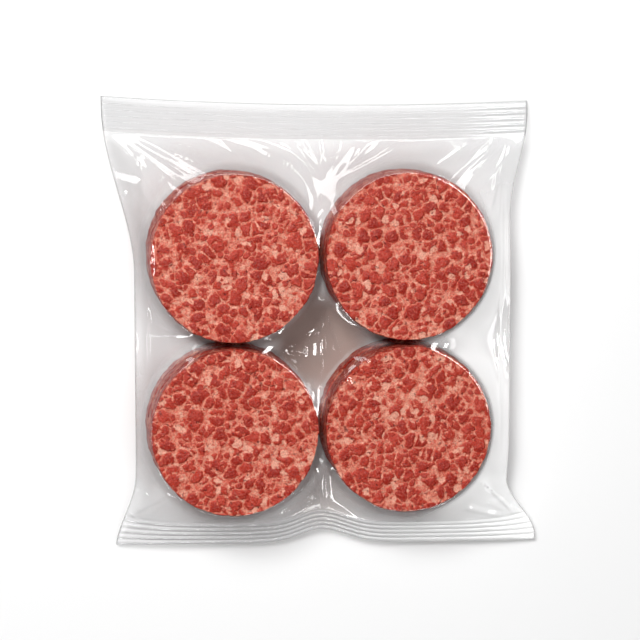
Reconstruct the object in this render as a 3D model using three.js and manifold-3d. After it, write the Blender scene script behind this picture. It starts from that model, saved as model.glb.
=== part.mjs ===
import * as THREE from 'three';
import { mergeVertices } from 'three/addons/utils/BufferGeometryUtils.js';
import Module from 'manifold-3d';

// A clear film bag of burgers, lying flat. Millimetres.
// X runs along the two end seals, +Y points to the head seal, +Z is up.

// Burgers in the bag: two by two round stacks, measured from the middle of the four
const STACK_RADIUS = 51.4;
const STACK_HEIGHT = 40;
const STACK_PITCH_X = 105;
const STACK_PITCH_Y = 104.4;
const STACK_EDGE_ROUND = 2.4;

// Side folds of the bag: half widths at the seals and at the waist, their sideways shifts, and
// where the left and the right side begin to flare
const HEAD_HALF_WIDTH = 129.8;
const FOOT_HALF_WIDTH = 130.4;
const WAIST_HALF_WIDTH = 114.7;
const HEAD_FLARE_START = [42, 72];
const FOOT_FLARE_START = [-82, -88];
const HEAD_SHIFT = 1.2;
const WAIST_SHIFT = 4.2;
const FOOT_SHIFT = 8.4;
const WAIST_FOLD_HEIGHT = 17;
const FOLD_LEAD = 20;

// Head seal, flat and nearly level
const HEAD_EDGE = 145.4;
const HEAD_EDGE_SLANT = -0.016;
const HEAD_EDGE_SAG = 3.6;
const HEAD_SEAL_DEPTH = 21;
const HEAD_SEAL_RIDGES = 6;
const HEAD_SEAL_OUTER_HEIGHT = 8;
const HEAD_SEAL_INNER_HEIGHT = 13;
const HEAD_CORNER_DROP = 3.5;

// Foot seal, leaning on the burgers and pulled in between them
const FOOT_EDGE = -127.2;
const FOOT_EDGE_SLANT = -0.018;
const FOOT_KINK_DEPTH = 8.5;
const FOOT_KINK_X = 5;
const FOOT_KINK_WIDTH = 20;
const FOOT_SEAL_DEPTH = 15.5;
const FOOT_CORNER_SEAL_DEPTH = 19;
const FOOT_SEAL_RIDGES = 5;
const FOOT_SEAL_OUTER_HEIGHT = 5.5;
const FOOT_SEAL_INNER_HEIGHT = 20;
const FOOT_CORNER_OUTER_HEIGHT = 3;
const FOOT_CORNER_INNER_HEIGHT = 8;

// Film
const SEAL_THICKNESS = 0.9;
const RIDGE_HEIGHT = 0.6;
const FILM_SAG_LOAD = 0.055;
const BASE_CUT_DEPTH = 0.5;

// Taut corners: how far below the top they leave the rim of a stack, the headings from its centre,
// in degrees, between which they take over, and the steps and least slant of the search for the edge
const RIM_DROP = 1.3;
const CORNER_START = [8, 25];
const CORNER_END = [70, 86];
const EDGE_STEPS = 5;
const LEAST_RUN = 0.02;

// Pleats: their steep facet as a share of the broad one, how narrow they start, and the shares of
// their length where they have risen and where they begin to fall
const STEEP_SHARE = 0.35;
const PLEAT_START = 0.2;
const PLEAT_RISE = 0.3;
const PLEAT_FALL = 0.75;

// Furrow between the four stacks
const FURROW_X = 2;
const FURROW_REACH = 26;
const FURROW_WIDTH = 5;
const FURROW_DEPTH = 3;

// Mesh of the bag
const COLUMNS = 44;
const BODY_ROWS = 46;
const ROWS_PER_RIDGE = 2;
const RIM_RINGS = [STACK_RADIUS - 5.8, STACK_RADIUS - 0.6];
const RIM_REACH = 2.6;
const RELAX_SWEEPS = 900;
const RELAX_GAIN = 1.7;

const { lerp, smoothstep, clamp } = THREE.MathUtils;

const stackCentres = [];
for (const sideX of [-1, 1]) {
  for (const sideY of [-1, 1]) {
    stackCentres.push(new THREE.Vector2(sideX * STACK_PITCH_X / 2, sideY * STACK_PITCH_Y / 2));
  }
}

// Distance from (x, y) to the side of the nearest stack, negative above a stack
function distanceToStack(x, y) {
  const distances = stackCentres.map((centre) => Math.hypot(x - centre.x, y - centre.y));
  return Math.min(...distances) - STACK_RADIUS;
}

// How far the rounded edge of a stack drops below its flat top
function edgeDrop(x, y) {
  const inset = Math.max(0, distanceToStack(x, y) + STACK_EDGE_ROUND);
  const reach = Math.min(inset, STACK_EDGE_ROUND);
  return STACK_EDGE_ROUND - Math.sqrt(STACK_EDGE_ROUND ** 2 - reach ** 2);
}

// The side folds: x of the left one (side -1) or the right one (side 1) at a given y
function sideFold(y, side) {
  const flare = side < 0 ? 0 : 1;
  const head = smoothstep(y, HEAD_FLARE_START[flare], HEAD_EDGE - HEAD_SEAL_DEPTH / 4);
  const foot = 1 - smoothstep(y, FOOT_EDGE, FOOT_FLARE_START[flare]);
  const waist = WAIST_SHIFT + side * WAIST_HALF_WIDTH;
  const toHead = HEAD_SHIFT + side * HEAD_HALF_WIDTH - waist;
  const toFoot = FOOT_SHIFT + side * FOOT_HALF_WIDTH - waist;
  return waist + toHead * head + toFoot * foot;
}

function halfWidth(y) {
  return (sideFold(y, 1) - sideFold(y, -1)) / 2;
}

function sideShift(y) {
  return (sideFold(y, 1) + sideFold(y, -1)) / 2;
}

// Height of the side fold, where the upper and lower sheets meet
function foldHeight(y) {
  const head = smoothstep(y, HEAD_FLARE_START[0], HEAD_EDGE - HEAD_SEAL_DEPTH);
  const foot = 1 - smoothstep(y, FOOT_EDGE + FOOT_CORNER_SEAL_DEPTH, FOOT_FLARE_START[0] + FOLD_LEAD);
  const headHeight = HEAD_SEAL_INNER_HEIGHT - HEAD_CORNER_DROP;
  return lerp(lerp(WAIST_FOLD_HEIGHT, headHeight, head), FOOT_CORNER_INNER_HEIGHT, foot);
}

// Head seal at a place across the bag, from -1 at the left to 1 at the right
function headEdge(across) {
  const x = across * HEAD_HALF_WIDTH + HEAD_SHIFT;
  return HEAD_EDGE + HEAD_EDGE_SLANT * x - HEAD_EDGE_SAG * (1 - across ** 2);
}

function headSealHeight(across, inward) {
  const middle = lerp(HEAD_SEAL_OUTER_HEIGHT, HEAD_SEAL_INNER_HEIGHT, inward);
  return middle - HEAD_CORNER_DROP * across ** 4;
}

// Foot seal: its edge runs in towards the gap between the stacks
function footKink(across) {
  const x = across * FOOT_HALF_WIDTH + FOOT_SHIFT;
  return Math.exp(-(((x - FOOT_KINK_X) / FOOT_KINK_WIDTH) ** 2));
}

function footEdge(across) {
  const x = across * FOOT_HALF_WIDTH + FOOT_SHIFT;
  return FOOT_EDGE + FOOT_EDGE_SLANT * x + FOOT_KINK_DEPTH * footKink(across);
}

function footSealDepth(across) {
  return lerp(FOOT_SEAL_DEPTH, FOOT_CORNER_SEAL_DEPTH, across ** 6);
}

function footSealHeight(across, inward) {
  const corner = across ** 6;
  const outer = lerp(FOOT_SEAL_OUTER_HEIGHT, FOOT_CORNER_OUTER_HEIGHT, corner);
  const inner = lerp(FOOT_SEAL_INNER_HEIGHT, FOOT_CORNER_INNER_HEIGHT, corner);
  return lerp(outer, inner, inward);
}

// Edge of the bag's body, seen from a stack's centre along an outward heading: its distance and height
function cornerEdge(centre, runX, runY) {
  const sideX = Math.sign(centre.x);
  const sideY = Math.sign(centre.y);
  const sealShift = sideY > 0 ? HEAD_SHIFT : FOOT_SHIFT;
  const sealHalfWidth = sideY > 0 ? HEAD_HALF_WIDTH : FOOT_HALF_WIDTH;
  let toSide = STACK_RADIUS;
  let toSeal = STACK_RADIUS;
  let sideHit = 0;
  let across = 0;
  for (let step = 0; step < EDGE_STEPS; step++) {
    sideHit = clamp(centre.y + sideY * runY * toSide, FOOT_EDGE, HEAD_EDGE);
    toSide = (sideX * sideShift(sideHit) + halfWidth(sideHit) - Math.abs(centre.x)) / runX;
    across = clamp((centre.x + sideX * runX * toSeal - sealShift) / sealHalfWidth, -1, 1);
    const sealHit = sideY > 0
      ? headEdge(across) - HEAD_SEAL_DEPTH
      : -footEdge(across) - footSealDepth(across);
    toSeal = (sealHit - Math.abs(centre.y)) / runY;
  }
  const sealLevel = sideY > 0 ? headSealHeight(across, 1) : footSealHeight(across, 1);
  return toSide < toSeal
    ? { distance: toSide, height: foldHeight(sideHit) }
    : { distance: toSeal, height: sealLevel };
}

// Towards the four corners the film runs straight from the rims of the stacks to the edge of the body
function tautCorners(x, y, upper) {
  let height = upper;
  for (const centre of stackCentres) {
    const outX = Math.sign(centre.x) * (x - centre.x);
    const outY = Math.sign(centre.y) * (y - centre.y);
    if (outX <= 0 || outY <= 0) continue;
    const away = Math.hypot(outX, outY);
    const edge = cornerEdge(centre, Math.max(outX / away, LEAST_RUN), Math.max(outY / away, LEAST_RUN));
    const share = clamp((away - STACK_RADIUS) / (edge.distance - STACK_RADIUS), 0, 1);
    const heading = THREE.MathUtils.radToDeg(Math.atan2(outY, outX));
    const weight = smoothstep(heading, ...CORNER_START) * (1 - smoothstep(heading, ...CORNER_END));
    height = lerp(height, lerp(STACK_HEIGHT - RIM_DROP, edge.height, share), weight);
  }
  return height;
}

// A pleat in the upper sheet: a broad flat facet that widens from start to end, and a steep one beyond
// its crest. The broad facet is on the left of the line, or on the right where the width is negative.
function pleat([fromX, fromY], [toX, toY], width, height) {
  const along = new THREE.Vector2(toX - fromX, toY - fromY);
  const length = along.length();
  along.normalize();
  return (x, y) => {
    const forward = ((x - fromX) * along.x + (y - fromY) * along.y) / length;
    const sideways = ((y - fromY) * along.x - (x - fromX) * along.y) * Math.sign(width);
    const widening = clamp(lerp(PLEAT_START, 1, forward), PLEAT_START, 1);
    const reach = Math.abs(width) * widening;
    const slope = sideways > 0 ? 1 - sideways / reach : 1 + sideways / (STEEP_SHARE * reach);
    const fade = smoothstep(forward, 0, PLEAT_RISE) * (1 - smoothstep(forward, PLEAT_FALL, 1));
    return height * fade * widening * clamp(slope, 0, 1);
  };
}

// Start, end, width and height of each pleat: from the corners, then from the puckers between the stacks
const pleats = [
  pleat([-116, 127], [-58, 97], 12, 2.6),
  pleat([-119, 124], [-78, 92], 9, 2),
  pleat([-121, 120], [-94, 70], 8, 1.8),
  pleat([115, 127], [72, 94], -10, 2.4),
  pleat([119, 122], [100, 74], -8, 2),
  pleat([-106, -107], [-82, -80], 8, 1.4),
  pleat([118, -108], [94, -80], -8, 1.4),
  pleat([3, 96], [-17, 122], -7, 2),
  pleat([9, 98], [52, 121], 8, 2.2),
  pleat([2, -94], [-30, -110], -8, 1.6),
  pleat([6, -94], [36, -108], 7, 1.6),
];

// The film is drawn down in a furrow where the four stacks meet
function furrow(x, y) {
  const fade = Math.cos(Math.PI / 2 * clamp(y / FURROW_REACH, -1, 1));
  return -FURROW_DEPTH * fade * Math.exp(-(Math.abs((x - FURROW_X) / FURROW_WIDTH) ** 1.5));
}

// Places across the bag, from -1 to 1
function acrossPlaces() {
  const places = [];
  for (let column = 0; column <= COLUMNS; column++) {
    places.push(2 * column / COLUMNS - 1);
  }
  return places;
}

// One row of points per step along the bag: foot seal, body, head seal
function bagRows() {
  const rows = [];
  const footSteps = FOOT_SEAL_RIDGES * ROWS_PER_RIDGE;
  for (let step = 0; step < footSteps; step++) {
    rows.push({ part: 'foot', inward: step / footSteps, crest: step % 2 });
  }
  for (let step = 0; step <= BODY_ROWS; step++) {
    rows.push({ part: 'body', along: step / BODY_ROWS });
  }
  const headSteps = HEAD_SEAL_RIDGES * ROWS_PER_RIDGE;
  for (let step = headSteps - 1; step >= 0; step--) {
    rows.push({ part: 'head', inward: step / headSteps, crest: step % 2 });
  }
  return rows;
}

function rowY(row, across) {
  const footInner = footEdge(across) + footSealDepth(across);
  const headInner = headEdge(across) - HEAD_SEAL_DEPTH;
  if (row.part === 'foot') return lerp(footEdge(across), footInner, row.inward);
  if (row.part === 'head') return lerp(headEdge(across), headInner, row.inward);
  return lerp(footInner, headInner, row.along);
}

function sealHeight(row, across) {
  const level = row.part === 'foot' ? footSealHeight : headSealHeight;
  return level(across, row.inward) + (row.crest ? RIDGE_HEIGHT : -RIDGE_HEIGHT);
}

// Points close to a ring at the rim of the nearest stack move onto it, so that the rim comes out round
function ontoRim(point) {
  const away = (centre) => Math.hypot(point.x - centre.x, point.y - centre.y);
  const nearest = stackCentres.reduce((a, b) => (away(a) < away(b) ? a : b));
  const radius = away(nearest);
  const ring = RIM_RINGS.find((candidate) => Math.abs(radius - candidate) < RIM_REACH);
  if (ring === undefined) return;
  point.x = nearest.x + (point.x - nearest.x) * ring / radius;
  point.y = nearest.y + (point.y - nearest.y) * ring / radius;
}

// Grid of both sheets: x, y and the heights of the upper and lower film, with fixed edges
function startGrid() {
  const places = acrossPlaces();
  const rows = bagRows();
  const lastBody = rows.findLastIndex((row) => row.part === 'body');
  const firstBody = rows.findIndex((row) => row.part === 'body');
  return rows.map((row, rowIndex) => places.map((across, column) => {
    const y = rowY(row, across);
    const x = sideShift(y) + halfWidth(y) * across;
    const point = { x, y, across, fixed: true, upper: 0, lower: 0 };
    if (row.part !== 'body') {
      point.upper = sealHeight(row, across) + SEAL_THICKNESS / 2;
      point.lower = sealHeight(row, across) - SEAL_THICKNESS / 2;
    } else if (rowIndex === firstBody || rowIndex === lastBody) {
      const level = rowIndex === firstBody ? footSealHeight(across, 1) : headSealHeight(across, 1);
      point.upper = level + SEAL_THICKNESS / 2;
      point.lower = level - SEAL_THICKNESS / 2;
    } else if (column === 0 || column === places.length - 1) {
      point.upper = foldHeight(y);
      point.lower = foldHeight(y);
    } else {
      point.upper = STACK_HEIGHT;
      point.fixed = false;
      ontoRim(point);
    }
    if (column === 0 || column === places.length - 1) {
      const level = (point.upper + point.lower) / 2;
      point.upper = level;
      point.lower = level;
    }
    return point;
  }));
}

// Weights of the four neighbours of a grid point in a stretched sheet
function neighbourWeights(grid, row, column) {
  const point = grid[row][column];
  const gap = (other) => Math.hypot(other.x - point.x, other.y - point.y);
  const west = gap(grid[row][column - 1]);
  const east = gap(grid[row][column + 1]);
  const south = gap(grid[row - 1][column]);
  const north = gap(grid[row + 1][column]);
  const weights = [
    2 / ((west + east) * west),
    2 / ((west + east) * east),
    2 / ((south + north) * south),
    2 / ((south + north) * north),
  ];
  return { weights, total: weights.reduce((sum, weight) => sum + weight) };
}

// Stretch both sheets tight: the upper over the burgers, the lower under them
function stretchFilm(grid) {
  const free = [];
  grid.forEach((line, row) => line.forEach((point, column) => {
    if (point.fixed) return;
    const neighbours = [
      grid[row][column - 1], grid[row][column + 1], grid[row - 1][column], grid[row + 1][column],
    ];
    const onStack = distanceToStack(point.x, point.y) < 0;
    const drop = edgeDrop(point.x, point.y);
    const floorOfUpper = onStack ? STACK_HEIGHT - drop : 0;
    const roofOfLower = onStack ? drop - BASE_CUT_DEPTH : STACK_HEIGHT;
    free.push({ point, neighbours, floorOfUpper, roofOfLower, ...neighbourWeights(grid, row, column) });
  }));
  for (let sweep = 0; sweep < RELAX_SWEEPS; sweep++) {
    for (const { point, neighbours, weights, total, floorOfUpper, roofOfLower } of free) {
      const pull = (sheet) => neighbours.reduce((sum, other, at) => sum + weights[at] * other[sheet], 0);
      const upper = (pull('upper') - FILM_SAG_LOAD) / total;
      const lower = pull('lower') / total;
      point.upper = Math.max(floorOfUpper, point.upper + RELAX_GAIN * (upper - point.upper));
      point.lower = Math.min(roofOfLower, point.lower + RELAX_GAIN * (lower - point.lower));
      point.lower = Math.max(point.lower, -BASE_CUT_DEPTH);
    }
  }
  for (const { point, floorOfUpper } of free) {
    const lowest = Math.max(floorOfUpper, point.lower + SEAL_THICKNESS);
    let upper = tautCorners(point.x, point.y, point.upper) + furrow(point.x, point.y);
    for (const raise of pleats) upper += raise(point.x, point.y);
    point.upper = Math.max(upper, lowest);
  }
}

// Close the two sheets into one skin, sharing the points along the side folds
function bagSkin(grid) {
  const lastRow = grid.length - 1;
  const lastColumn = grid[0].length - 1;
  const positions = [];
  const indices = [];
  const corner = (row, column, sheet) => {
    const point = grid[row][column];
    positions.push(point.x, point.y, point[sheet]);
    return positions.length / 3 - 1;
  };
  // Each cell is split along its more level diagonal, which follows the rims and the pleats
  const rise = (a, b) => Math.abs(positions[3 * a + 2] - positions[3 * b + 2]);
  const quad = (a, b, c, d) => {
    if (rise(a, c) < rise(b, d)) indices.push(a, b, c, a, c, d);
    else indices.push(a, b, d, b, c, d);
  };
  for (let row = 0; row < lastRow; row++) {
    for (let column = 0; column < lastColumn; column++) {
      const spots = [[row, column], [row, column + 1], [row + 1, column + 1], [row + 1, column]];
      const upper = spots.map(([r, c]) => corner(r, c, 'upper'));
      const lower = spots.map(([r, c]) => corner(r, c, 'lower'));
      quad(...upper);
      quad(...lower.reverse());
    }
  }
  for (let column = 0; column < lastColumn; column++) {
    for (const row of [0, lastRow]) {
      const outward = row === 0 ? [column, column + 1] : [column + 1, column];
      const lower = outward.map((c) => corner(row, c, 'lower'));
      const upper = outward.map((c) => corner(row, c, 'upper'));
      quad(lower[0], lower[1], upper[1], upper[0]);
    }
  }
  const geometry = new THREE.BufferGeometry();
  geometry.setAttribute('position', new THREE.Float32BufferAttribute(positions, 3));
  geometry.setIndex(indices);
  return geometry;
}

const wasm = await Module();
wasm.setup();

function toSolid(geometry) {
  const bare = geometry.clone();
  bare.deleteAttribute('normal');
  bare.deleteAttribute('uv');
  const merged = mergeVertices(bare, 1e-4);
  const vertProperties = new Float32Array(merged.attributes.position.array);
  const index = merged.index.array;
  const triVerts = [];
  for (let at = 0; at < index.length; at += 3) {
    const [a, b, c] = [index[at], index[at + 1], index[at + 2]];
    if (a !== b && b !== c && c !== a) triVerts.push(a, b, c);
  }
  const mesh = new wasm.Mesh({ numProp: 3, vertProperties, triVerts: new Uint32Array(triVerts) });
  return new wasm.Manifold(mesh);
}

function toGeometry(solid) {
  const mesh = solid.getMesh();
  const geometry = new THREE.BufferGeometry();
  geometry.setAttribute('position', new THREE.BufferAttribute(mesh.vertProperties, 3));
  geometry.setIndex(new THREE.BufferAttribute(mesh.triVerts, 1));
  geometry.computeVertexNormals();
  return geometry;
}

// The bag rests on a level base: whatever would lie below it is cut away
function levelBase(skin) {
  const below = new THREE.BoxGeometry(3 * HEAD_EDGE, 3 * HEAD_EDGE, STACK_HEIGHT);
  below.translate(0, 0, -STACK_HEIGHT / 2);
  return toGeometry(toSolid(skin).subtract(toSolid(below)));
}

// Stand the bag on the origin: middle of its width and length, on its base
function centreOnOrigin(geometry) {
  geometry.computeBoundingBox();
  const { min, max } = geometry.boundingBox;
  geometry.translate(-(min.x + max.x) / 2, -(min.y + max.y) / 2, -min.z);
  return geometry;
}

const filmMaterial = new THREE.MeshStandardMaterial({
  color: 0xe9e9ea,
  roughness: 0.12,
  metalness: 0,
  transparent: true,
  opacity: 0.25,
});

const grid = startGrid();
stretchFilm(grid);
const filmBag = new THREE.Mesh(centreOnOrigin(levelBase(bagSkin(grid))), filmMaterial);
filmBag.name = 'film_bag';

const pack = new THREE.Group();
pack.add(filmBag);

export default pack;
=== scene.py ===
import math

import bpy
import numpy as np
from mathutils import Matrix, Vector


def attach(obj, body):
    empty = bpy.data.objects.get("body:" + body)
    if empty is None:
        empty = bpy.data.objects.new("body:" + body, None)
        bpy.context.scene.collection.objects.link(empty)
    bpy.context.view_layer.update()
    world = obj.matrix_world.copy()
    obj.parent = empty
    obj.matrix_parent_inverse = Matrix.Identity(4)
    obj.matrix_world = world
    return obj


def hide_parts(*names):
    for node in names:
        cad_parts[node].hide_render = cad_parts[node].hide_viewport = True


# A clear film bag of raw burgers, lying flat. Sizes are in millimetres until a mesh is made.
# X runs along the two end seals, +Y points to the head seal, +Z is up.
MM = 0.001

# Burgers: two by two stacks of three, measured from the middle of the four
STACK_RADIUS = 51.4
STACK_HEIGHT = 40.0
STACK_PITCH_X = 105.0
STACK_PITCH_Y = 104.4
STACK_EDGE_ROUND = 2.4
PATTIES_PER_STACK = 3
PATTY_RADIUS = 50.9
PATTY_THICKNESS = 12.7
PATTY_EDGE_ROUND = 2.0
PATTY_GAP = 0.25
PATTY_BASE = 0.35
PATTY_SHIFT = 0.5
PATTY_SPREAD = (-0.3, 0.2)

# Side of a patty: how far inside the rim its flat face ends, as a share of the edge round, and the
# powers of its bulge
FACE_END = 0.55
BULGE_OUTWARD = 0.62
BULGE_UPWARD = 0.85

# Mesh of a patty: steps across and rows down the side, finest where it shows best
TOP_FINENESS = (116, 14)
MIDDLE_FINENESS = (70, 12)
BASE_FINENESS = (84, 12)

# Side folds of the bag: half widths and sideways shifts at the seals and at the waist, and where
# the left and the right one start to flare
HEAD_HALF_WIDTH = 129.8
FOOT_HALF_WIDTH = 130.4
WAIST_HALF_WIDTH = 114.7
HEAD_FLARE_START = (42.0, 72.0)
FOOT_FLARE_START = (-82.0, -88.0)
HEAD_SHIFT = 1.2
WAIST_SHIFT = 4.2
FOOT_SHIFT = 8.4
WAIST_FOLD_HEIGHT = 17.0
FOLD_LEAD = 20.0

# Head seal, flat and nearly level
HEAD_EDGE = 145.4
HEAD_EDGE_SLANT = -0.016
HEAD_EDGE_SAG = 3.6
HEAD_SEAL_DEPTH = 21.0
HEAD_SEAL_RIDGES = 6
HEAD_SEAL_OUTER_HEIGHT = 8.0
HEAD_SEAL_INNER_HEIGHT = 13.0
HEAD_CORNER_DROP = 3.5

# Foot seal, leaning on the burgers and pulled in between them
FOOT_EDGE = -127.2
FOOT_EDGE_SLANT = -0.018
FOOT_KINK_DEPTH = 8.5
FOOT_KINK_X = 5.0
FOOT_KINK_WIDTH = 20.0
FOOT_SEAL_DEPTH = 15.5
FOOT_CORNER_SEAL_DEPTH = 19.0
FOOT_SEAL_RIDGES = 5
FOOT_SEAL_OUTER_HEIGHT = 5.5
FOOT_SEAL_INNER_HEIGHT = 20.0
FOOT_CORNER_OUTER_HEIGHT = 3.0
FOOT_CORNER_INNER_HEIGHT = 8.0

# Form of the film
SEAL_THICKNESS = 0.4
RIDGE_HEIGHT = 0.45
RIDGE_BREADTH = 0.7
FILM_SAG_LOAD = 0.055
BASE_CLEARANCE = 0.1
TOP_CLEARANCE = 1.0

# Look of the film. FILM_CLEAR is how much lamp light it lets through, and the next four are what is
# seen through it: straight, through the painted shade between the stacks, aslant, and aslant in a seal
FILM_CLEAR = (0.880, 0.880, 0.880, 1.0)
FILM_SEEN = (0.985, 0.986, 0.988, 1.0)
FILM_GAP_SHADE = (0.785, 0.700, 0.660, 1.0)
FILM_ASLANT = (0.66, 0.66, 0.66, 1.0)
SEAL_ASLANT = (0.50, 0.50, 0.50, 1.0)
FILM_HAZE = (0.90, 0.90, 0.90, 1.0)
FILM_ROUGHNESS = 0.055
RIPPLE_SIZE = 9.0
RIPPLE_HEIGHT = 0.4
RIPPLE_STRENGTH = 0.25

# Mirror share of the film: seen straight, what is added aslant and how late, and the part left in
# the seals
MIRROR_STRAIGHT = 0.045
MIRROR_ASLANT = 0.22
MIRROR_POWER = 3.0
SEAL_MIRROR = 0.45

# Haze of the film: in the head seal, in the foot seal at the left and the right with the stretch on
# X between them, and where the film hangs loose. The fades are distances from the stacks
HEAD_CLOUD = 0.02
FOOT_CLOUD = (0.22, 0.50)
FOOT_SIDE = (10.0, 80.0)
LOOSE_CLOUD = 0.20
LOOSE_FADE = (1.0, 6.0)

# Slack film right of the stacks: its haze, the stretch on X where it starts and the one on Y where
# most of it goes, and the share left where it is seen square on, until it is turned that far
SLACK_CLOUD = 0.50
SLACK_FADE = (-1.0, 3.0)
SLACK_SIDE = (52.0, 84.0)
SLACK_HEAD = (50.0, 105.0)
SLACK_HEAD_LOSS = 0.92
SLACK_SQUARE_ON = 0.35
SLACK_TURN = (0.06, 0.36)

# Painted shade on the film, darker and redder, between the stacks and beside the foot seal: how it
# fades away from the middle, from a place beside the foot seal and towards the stacks
GAP_SHADE_MIDDLE_FADE = (20.0, 40.0)
GAP_SHADE_FOOT_PLACE = (4.0, -92.0)
GAP_SHADE_FOOT_FADE = (8.0, 34.0)
GAP_SHADE_FOOT_SHARE = 0.5
GAP_SHADE_RIM_FADE = (-0.5, 1.5)

# Taut corners: how far below the top they leave the rim of a stack, and the headings from its
# centre, in degrees, between which they take over
RIM_DROP = 1.3
CORNER_START = (8, 25)
CORNER_END = (70, 86)
EDGE_STEPS = 5
LEAST_RUN = 0.02

# Folds: how sharp their crests are and how fast they fade at both ends
FOLD_SHARPNESS = 1.5
FOLD_FADE = 0.8

# Pleats: width at the start as a share of the full one, the steep facet's as a share of the broad
# one's, and the shares of the length where the full height is reached and left
PLEAT_START = 0.2
STEEP_SHARE = 0.35
PLEAT_RISE = 0.3
PLEAT_FALL = 0.75

# Furrow of the upper sheet in the middle of the four stacks
FURROW_X = 2.0
FURROW_REACH = 26.0
FURROW_WIDTH = 5.0
FURROW_DEPTH = 3.0

# Fans of fine creases: ranges of the heading within its step, of start and end as shares of the
# fan's reach, and of height and width
FAN_JITTER = (0.2, 0.8)
FAN_START = (0.03, 0.25)
FAN_END = (0.65, 1.15)
FAN_HEIGHT = (0.15, 0.45)
FAN_WIDTH = (2.0, 4.0)

# Fine folds along the sides: how many at the left, -1, and at the right, 1, the places on Y that
# they stay between, and the ranges of their middle, half length, inset, height and width
SIDE_FOLD_COUNTS = ((-1, 14), (1, 6))
SIDE_FOLD_ENDS = (-100.0, 112.0)
SIDE_FOLD_MIDDLE = (-75.0, 95.0)
SIDE_FOLD_REACH = (20.0, 50.0)
SIDE_FOLD_INSET = (1.5, 7.5)
SIDE_FOLD_HEIGHT = (0.5, 1.1)
SIDE_FOLD_WIDTH = (0.9, 1.6)
SIDE_FOLD_LEAN = 2.0
SIDE_FOLD_SHARPNESS = 1.3

# Mesh of the film: columns across, rows along, all even, as the lower sheet is half as fine
FILM_COLUMNS = 268
FILM_BODY_ROWS = 200
ROWS_PER_RIDGE = 8

# Stretching the film: grid steps from coarse to full, and gain and sweeps of each relaxation
COARSE_STEPS = (8, 4, 2, 1)
RELAX_GAIN = 1.85
RELAX_SWEEPS = 500

# Camera: far off, a little to the left and towards the head seal
CAMERA_DISTANCE = 1500.0
CAMERA_LEAN_X = 8.5
CAMERA_LEAN_Y = 7.2
CAMERA_TARGET = (2.5, 11.5, 10.0)
CAMERA_FOCAL_PIXELS = 2473.0
CAMERA_CLIP = (0.01, 20.0)
PICTURE_PIXELS = 640.0
SENSOR_WIDTH = 36.0

# Mince: size of the lumps, of the crumbs between them and of the bits of fat among them, and the
# share of the cells of each kind that holds lean
LUMP_SIZE = 7.8
CRUMB_SIZE = 4.0
FAT_BIT_SIZE = 5.6
LUMP_LEAN = 0.94
CRUMB_LEAN = 0.55
FAT_BIT_LEAN = 0.84
LEAN_CELL_BLUR = 0.02

# Shape of the lumps: how the pattern is stirred, how ragged the edges are, and the bands of the
# cells' distances in which a lump ends at its cell's edge, is rounded off and rises to a dome
STIR_SIZE = 7.0
STIR_REACH = 4.5
RAGGED_SIZE = 2.2
RAGGED_EDGE = 0.42
RAGGED_ROUND = 0.55
EDGE_BAND = (0.015, 0.19)
ROUND_BAND = (0.71, 0.42)
DOME_BAND = (0.80, 0.20)

# How much the crumbs count beside the lumps, and the depths of lean over which their fat goes
CRUMB_DEPTH = 0.75
CRUMB_DOME = 0.3
CRUMB_FAT = 0.7
CRUMB_FAT_BAND = (0.25, 0.0)

# Relief of the patties: size of the swells and of the roughness, and heights
SWELL_SIZE = 16.0
ROUGH_SIZE = 3.0
DOME_HEIGHT = 0.6
SWELL_HEIGHT = 1.0
ROUGH_HEIGHT = 0.6
RELIEF_SINK = -0.75

# Fine patterns of the meat: sizes, and how strongly the grain frays the lean and the fat
GRAIN_SIZE = 1.5
BLOTCH_SIZE = 4.0
PIT_SHADE_SIZE = 2.6
SPECKLE_SIZE = 0.9
GRAIN_IN_LEAN = 0.9
GRAIN_IN_FAT = 2.4

# Bands of those patterns in which one colour of the meat turns into the next
WEB_PINK_BAND = (0.40, 0.56)
WEB_CREAM_BAND = (0.58, 0.72)
TONE_BAND = (0.1, 0.9)
BLOTCH_BAND = (0.52, 0.36)
PALE_GRAIN_BAND = (0.50, 0.72)
LEAN_PALE_BAND = (0.05, 0.30)
LEAN_MIDDLE_BAND = (0.22, 0.50)
LEAN_CORE_BAND = (0.45, 0.95)
FAT_BAND = (0.20, 1.15)
PIT_SHADE_BAND = (0.38, 0.28)
SPECKLE_BAND = (0.3, 0.7)
GLOSS_BAND = (0.3, 0.7)

# Strength of each pattern, and the finish of the meat
PALE_GRAIN = 0.8
# Painted shade: how dark the pits are painted, as if the crevices of the mince lay in shadow
PIT_SHADE_STRENGTH = 0.7
# Painted shade: how dark the side of each patty is painted, as if it were turned from the light
SIDE_SHADE_STRENGTH = 0.3
SPECKLE = (0.82, 1.16)
MEAT_ROUGHNESS = (0.24, 0.42)
MEAT_SPECULAR = 0.5
BUMP_HEIGHT = 0.9
LEAN_BUMP = 0.6

# Colours of the meat in linear red, green and blue
LEAN_DARK = (0.335, 0.020, 0.011, 1.0)
LEAN_MIDDLE = (0.495, 0.047, 0.027, 1.0)
LEAN_PALE = (0.610, 0.116, 0.074, 1.0)
# Painted shade down the side of each patty
SIDE_SHADE_RED = (0.270, 0.040, 0.026, 1.0)
FAT_PINK = (0.700, 0.235, 0.155, 1.0)
FAT_CREAM = (0.800, 0.370, 0.265, 1.0)
# Painted shade in the pits
PIT_SHADE_RED = (0.100, 0.004, 0.002, 1.0)

# Floor, and the sky: the heights where it is darkest and brightest, and its strengths there
FLOOR_SIZE = 6.0
FLOOR_COLOUR = (0.78, 0.78, 0.78, 1.0)
FLOOR_ROUGHNESS = 0.9
SKY_HEIGHTS = (0.90, 0.45)
SKY_STRENGTHS = (0.06, 0.60)

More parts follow.
